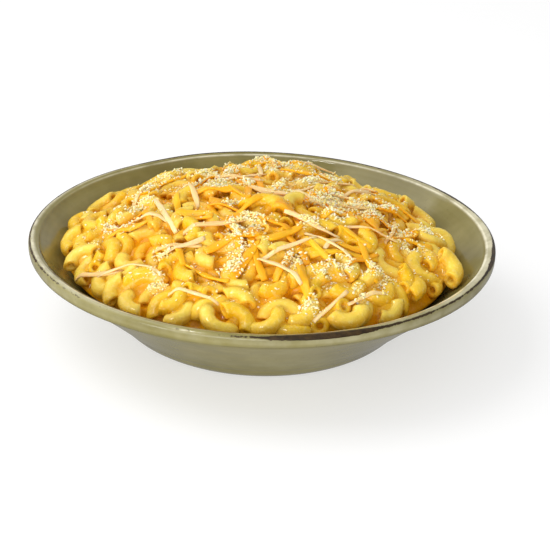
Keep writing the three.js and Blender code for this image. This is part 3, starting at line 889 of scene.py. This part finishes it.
def sauce_piece(heap):
    """The bed and the rods as one, swollen and drawn back so that sauce pools in the gaps."""
    bed = sauce_bed()
    alone(plain_rods(heap))
    bed.select_set(True)
    bpy.ops.object.join()
    sauce = bpy.context.object
    coarse, fine = (grid * MM for grid in SAUCE_GRIDS)
    for swell in (POOL * MM, -(POOL * MM + SKIN * MM)):
        applied(sauce, "REMESH", mode="VOXEL", voxel_size=coarse)
        applied(sauce, "DISPLACE", strength=swell, mid_level=0.0)
    applied(sauce, "REMESH", mode="VOXEL", voxel_size=fine)
    applied(sauce, "SMOOTH", factor=0.5, iterations=3)
    faces = len(sauce.data.polygons)
    if faces > SAUCE_FACES:
        applied(sauce, "DECIMATE", ratio=SAUCE_FACES / faces)
    points = arrays(sauce.data)[0] / MM
    # the sauce takes a little more of the painted shade than the elbows do
    depths = np.clip(depth_under(points) + 0.12, 0, 1)
    material = sauced("pooled_cheese_sauce", "#e09804", "#e8ae10", "#eec236")
    return coated(sauce, points, np.full(len(points), 0.35), depths, material)


# ---- toppings


class Surface:
    """What a topping lands on, asked in millimetres from above."""

    def __init__(self, *pieces):
        verts, faces = [], []
        for piece in pieces:
            base = len(verts)
            verts += [v.co / MM for v in piece.data.vertices]
            faces += [[base + i for i in face.vertices] for face in piece.data.polygons]
        self.tree = BVHTree.FromPolygons(verts, faces)

    def under(self, x, y):
        """The height and the normal of what lies under a place, or None for both."""
        place, normal, _, _ = self.tree.ray_cast(Vector((x, y, 120)), Vector((0, 0, -1)))
        return (None, None) if place is None else (place.z, normal)


def strip_blank(width, thickness):
    """One straight strip along X, with its edges bevelled, cut across into short lengths."""
    bpy.ops.mesh.primitive_cube_add(size=1)
    strip = bpy.context.object
    edit("EDGE")
    pick_all()
    bpy.ops.transform.resize(value=(1, width * MM, thickness * MM))
    bpy.ops.mesh.bevel(offset=0.28 * thickness * MM, segments=1, affect="EDGES", clamp_overlap=True)
    cut_across(SHRED_CUTS, 1, (1, 0, 0))
    leave()
    return taken(strip)


def smoothed(row, wide):
    """A running mean over so many neighbours to each side, with the ends held."""
    window = np.ones(2 * wide + 1) / (2 * wide + 1)
    return np.convolve(np.pad(row, wide, mode="edge"), window, mode="valid")


def path_over(surface, row, kind):
    """A strip's path: places, heights, headings and rolls, curling over the food and pulled taut."""
    x, y, heading, length, curl = row
    share = np.linspace(-0.5, 0.5, PATH_STEPS + 1)
    along = (heading + share * curl) * DEG
    half = (heading * DEG + along) / 2
    px, py = x + length * share * np.cos(half), y + length * share * np.sin(half)
    height, roll = [], []
    for a, b, way in zip(px, py, along):
        left, under, right = (
            surface.under(a - off * math.sin(way), b + off * math.cos(way))[0] or 0
            for off in (-FEELER, 0, FEELER)
        )
        height.append(max(under, (left + right) / 2))
        roll.append(math.atan2(right - left, 2 * FEELER))
    height = np.array(height)
    if height.min() < LOWEST_SHRED:
        return None
    # an end that reaches past the food stays clear of the bowl's wall
    height = np.maximum(height, wall_height(np.hypot(px, py)) + WALL_CLEAR)
    for _ in range(kind["taut"]):
        height[1:-1] = np.maximum(height[1:-1], (height[:-2] + height[2:]) / 2 - SAG)
    height, roll = smoothed(height, 1), smoothed(np.clip(roll, -0.8, 0.8), 3)
    height = np.minimum(height + kind["thickness"] * 0.25, FOOD_TOP - kind["thickness"])
    height = np.minimum(height, dome_height(px, py) + np.interp(py, (0, 30), (9, 3.5)))
    return np.stack([px, py, height, along, roll])


def draped(points, path, rng):
    """Lays a strip's points along a path, twisted, tapered and wavering a little."""
    place = points[:, 0] + 0.5
    spot = np.clip(place, 0, 1) * PATH_STEPS
    low = np.clip(np.floor(spot).astype(int), 0, PATH_STEPS - 1)
    part = spot - low
    cx, cy, cz, way, lean = path[:, low] * (1 - part) + path[:, low + 1] * part
    twist = lean + rng.uniform(-0.2, 0.2) + rng.uniform(-0.5, 0.5) * (place - 0.5)
    taper = rng.uniform(0.7, 1.1) * (1 - 0.2 * np.abs(2 * place - 1) ** 6)
    wobble = 1 + 0.08 * np.sin(place * rng.uniform(7, 12) + rng.uniform(0, 6))
    across, up = points[:, 1] / MM * taper * wobble, points[:, 2] / MM * taper
    side = across * np.cos(twist) - up * np.sin(twist)
    rise = across * np.sin(twist) + up * np.cos(twist)
    return np.stack([cx - side * np.sin(way), cy + side * np.cos(way), cz + rise], axis=1)


def strewn_place(rng, reach):
    """A place drawn at random, evenly over a disc."""
    away = reach * math.sqrt(rng.random())
    angle = TURN * rng.random()
    return away * math.cos(angle), away * math.sin(angle)


def shred_piece(name, surface, kind, led, material):
    """Strips that have a place of their own, and more strewn at random, draped over the food."""
    blank = strip_blank(kind["width"], kind["thickness"])
    rng = random.Random(kind["seed"])
    rows = list(led)
    for _ in range(kind["more"]):
        place = strewn_place(rng, kind["reach"])
        rows.append((*place, rng.uniform(0, 360), rng.uniform(14, 30), rng.uniform(-25, 25)))
    copies, tones, streaks = [], [], []
    for k, row in enumerate(rows):
        path = path_over(surface, row, kind)
        if path is None:
            continue
        copies.append(draped(blank[0], path, rng))
        tones.append(rng.uniform(-0.1, 0.35))
        # streaks are drawn out along the strip, and each strip has its own
        drawn_out = np.array([row[3] * STREAKS_ALONG, STREAKS_ACROSS / MM, STREAKS_ACROSS / MM])
        streaks.append(blank[0] * drawn_out + 7.3 * k)
    piece = joined(name, blank, copies)
    give(piece, tone=np.repeat(tones, len(blank[0])), streak=np.concatenate(streaks))
    finished(piece, material)
    return piece


def drawn_clumps():
    """The clumps of crumbs with a place of their own, and more strewn at random."""
    rng = random.Random(31)
    clumps = list(CRUMB_CLUMPS)
    for _ in range(CLUMPS_STREWN):
        place = strewn_place(rng, CLUMP_REACH)
        clumps.append((*place, rng.uniform(2.0, 3.6), int(rng.uniform(30, 80))))
    return clumps


def cheddar_near(points):
    """How much orange cheese has melted in at points in millimetres: most in the middle of the heap."""
    away = np.hypot(points[:, 0], (points[:, 1] + 8) * 1.1)
    return np.interp(away, (45, 88), (1.0, 0.15)) * np.interp(points[:, 1], (10, 50), (1.0, 0.3))


def dust_near(points):
    """How thickly fine cheese lies at points in millimetres: 1 in the middle of a clump."""
    thick = np.zeros(len(points))
    for x, y, spread, count in drawn_clumps():
        flat = (points[:, 0] - x) ** 2 + (points[:, 1] - y) ** 2
        thick = np.maximum(thick, min(1, count / 70) * np.exp(-flat / (1.6 * spread) ** 2))
    return thick


def crumb_blank():
    """One crumb: a ball of few faces, stretched, with one end pushed up and aside."""
    bpy.ops.mesh.primitive_uv_sphere_add(segments=5, ring_count=2, radius=0.5)
    lump = bpy.context.object
    edit()
    pick_all()
    bpy.ops.transform.resize(value=(1.3, 1.0, 0.8))
    leave()
    select_verts(lump.data, lambda co: co.x > 0.3)
    edit()
    bpy.ops.transform.translate(value=(0.08, 0.05, 0.16))
    leave()
    return taken(lump)


def crumb_spots(rng):
    """Where crumbs fall, and their sizes: coarse and fine in each clump, and dust in patches."""
    spots = []
    for x, y, spread, count in drawn_clumps():
        for number, wide, deep, sizes in (
            (count // 3, 0.7, 0.65, (1.3, 2.1)),
            (2 * count, 1.15, 1.05, (0.7, 1.5)),
        ):
            for _ in range(number):
                place = rng.gauss(x, spread * wide), rng.gauss(y, spread * deep)
                spots.append((*place, rng.uniform(*sizes)))
    for _ in range(DUST_TRIES):
        x, y = strewn_place(rng, DUST_REACH)
        if noise.noise((x / DUST_PATCH, y / DUST_PATCH, 4.0)) >= rng.uniform(-0.1, 0.35):
            spots.append((x, y, rng.uniform(0.6, 1.2)))
    return spots


def crumb_height(x, y, size, surface, placed):
    """How high a crumb comes to lie on the food or on other crumbs, or None if it wouldn't stay."""
    z, normal = surface.under(x, y)
    if z is None or normal.z < 0.3 or math.hypot(x - HEAP_SHIFT, y) > CRUMB_REACH:
        return None
    top = float(dome_height(x, y))
    if z < top - CRUMB_UNDER:
        return None
    z += size * 0.2
    most = z + CRUMB_PILE
    if len(placed):
        flat = (placed[:, 0] - x) ** 2 + (placed[:, 1] - y) ** 2
        spare = ((placed[:, 3] + size) * 0.36) ** 2 - flat
        close = (spare > 0) & (np.abs(placed[:, 2] - z) < 3.5)
        if np.any(close):
            z = max(z, float((placed[close, 2] + np.sqrt(spare[close])).max()))
    ceiling = min(FOOD_TOP, top + np.interp(y, (0, 30), (4.5, 3.0)))
    return None if z > most or z + size * 0.6 > ceiling else z


def crumb_piece(surface):
    """Crumbs of dry cheese in clumps and dusted between them, each turned and knocked its own way."""
    blank = crumb_blank()
    rng = random.Random(29)
    placed = np.empty((0, 4))
    copies, tones = [], []
    for x, y, size in crumb_spots(rng):
        z = crumb_height(x, y, size, surface, placed)
        if z is None:
            continue
        placed = np.vstack([placed, (x, y, z, size)])
        turn = rng.uniform(0, TURN)
        axis = Vector([rng.gauss(0, 1) for _ in range(3)]).normalized()
        stretch = np.array([rng.uniform(0.8, 1.3), rng.uniform(0.7, 1.1), rng.uniform(0.6, 1.0)])
        shape = blank[0] * size * stretch
        shape = shape * (1 + 0.25 * np.array([[rng.uniform(-1, 1)] for _ in shape]))
        spin = np.array(Matrix.Rotation(turn, 3, axis))
        copies.append(shape @ spin.T + np.array([x, y, z]))
        tones.append(rng.uniform(0.1, 0.6) - (0.15 if size < 1.0 else 0))
    piece = joined("cheese_crumbs", blank, copies)
    give(piece, tone=np.repeat(tones, len(blank[0])))
    finished(piece, dry_crumb())


# ---- floor, light and camera

AIM = (0, 0, 0.03)
ROOM_LIGHT, UNDER_LIGHT = 0.66, 0.34
LAMPS = (  # name, place, width and height in metres, watts
    ("key", (-0.85, 0.2, 1.05), (1.1, 1.1), 10.8),
    ("fill", (0.3, -1.4, 0.7), (1.0, 1.0), 2.0),
    ("card", (-0.5, -1.1, 0.17), (1.2, 0.3), 11.0),
    ("glint", (-0.45, -0.5, 0.9), (0.16, 0.16), 6.0),
)
CAMERA = {"elevation": 24.35 * DEG, "distance": 0.85, "roll": 1.58 * DEG, "lens": 104.4}
CAMERA_SHIFT = (0.0246, -0.0193)


def pale_floor():
    """A wide white sheet of matt paper, glowing a little so that it stays pale."""
    bpy.ops.mesh.primitive_plane_add(size=8, location=(0, 0, -0.0004))
    floor = bpy.context.object
    floor.name = "floor"
    made, put, shader, coords = blank_material("white_paper_sweep")
    cloud = put(NOISE, Vector=coords, Scale=3.0)
    tint = put(RAMP, ((0.3, "#b4b4b4"), (0.7, "#b8b8b8")), Fac=cloud)
    plug(
        shader, Base_Color=tint, Roughness=0.9, Specular_IOR_Level=0.1,
        Emission_Color="#ffffff", Emission_Strength=0.55,
    )
    floor.data.materials.append(made)
    # the bowl's underside is lit by the room below the horizon, not by this sheet
    floor.visible_diffuse = floor.visible_glossy = floor.visible_shadow = False


def soft_light():
    """A pale room, dimmer below the horizon, and large soft lamps turned to the food."""
    world = bpy.data.worlds.new("studio")
    bpy.context.scene.world = world
    world.use_nodes = True
    put = partial(add, world.node_tree)
    up = put("ShaderNodeSeparateXYZ", out="Z", Vector=put("ShaderNodeTexCoord", out="Object"))
    below, above = {"From_Min": -0.1, "To_Min": UNDER_LIGHT}, {"From_Max": 0.15, "To_Max": ROOM_LIGHT}
    level = put("ShaderNodeMapRange", Value=up, **below, **above)
    plug(world.node_tree.nodes["Background"], Color="#ffffff", Strength=level)
    for name, place, size, power in LAMPS:
        lamp = bpy.data.lights.new(name, "AREA")
        lamp.shape, lamp.energy = "RECTANGLE", power
        lamp.size, lamp.size_y = size
        made = linked(name, lamp)
        made.location = place
        made.rotation_mode = "QUATERNION"
        made.rotation_quaternion = (Vector(place) - Vector(AIM)).to_track_quat("Z", "Y")
        # the small lamp only draws highlights on what is wet
        made.visible_diffuse = name != "glint"


def standing_camera():
    """A long lens that looks a little down on the bowl."""
    lens = bpy.data.cameras.new("camera")
    lens.lens, lens.sensor_width = CAMERA["lens"], 36
    lens.sensor_fit = "HORIZONTAL"
    lens.shift_x, lens.shift_y = CAMERA_SHIFT
    made = linked("camera", lens)
    tip, roll = CAMERA["elevation"], CAMERA["roll"]
    back = Vector((0, -math.cos(tip), math.sin(tip)))
    right, up = Vector((1, 0, 0)), Vector((0, math.sin(tip), math.cos(tip)))
    level = right * math.cos(roll) + up * math.sin(roll)
    raised = up * math.cos(roll) - right * math.sin(roll)
    turned_to = Matrix((level, raised, back)).transposed().to_4x4()
    made.matrix_world = Matrix.Translation(Vector(AIM) + back * CAMERA["distance"]) @ turned_to
    bpy.context.scene.camera = made


# ---- the dish

standing_camera()
soft_light()
pale_floor()
bpy.context.scene.view_settings.view_transform = "Standard"

turned_bowl()
heap = laid_elbows()
elbows = elbow_piece(heap)
sauce = sauce_piece(heap)
orange = grated("grated_cheddar", "#f4a204", "#fec21a", 0.45, 0.15)
cheddar = shred_piece("cheddar_shreds", Surface(elbows, sauce), CHEDDAR, CHEDDAR_SHREDS, orange)
ivory = grated("grated_white_cheese", "#eec078", "#f9dca2", 0.5, 0.1)
white = shred_piece("white_shreds", Surface(elbows, sauce, cheddar), WHITE, WHITE_SHREDS, ivory)
crumb_piece(Surface(elbows, sauce, cheddar, white))
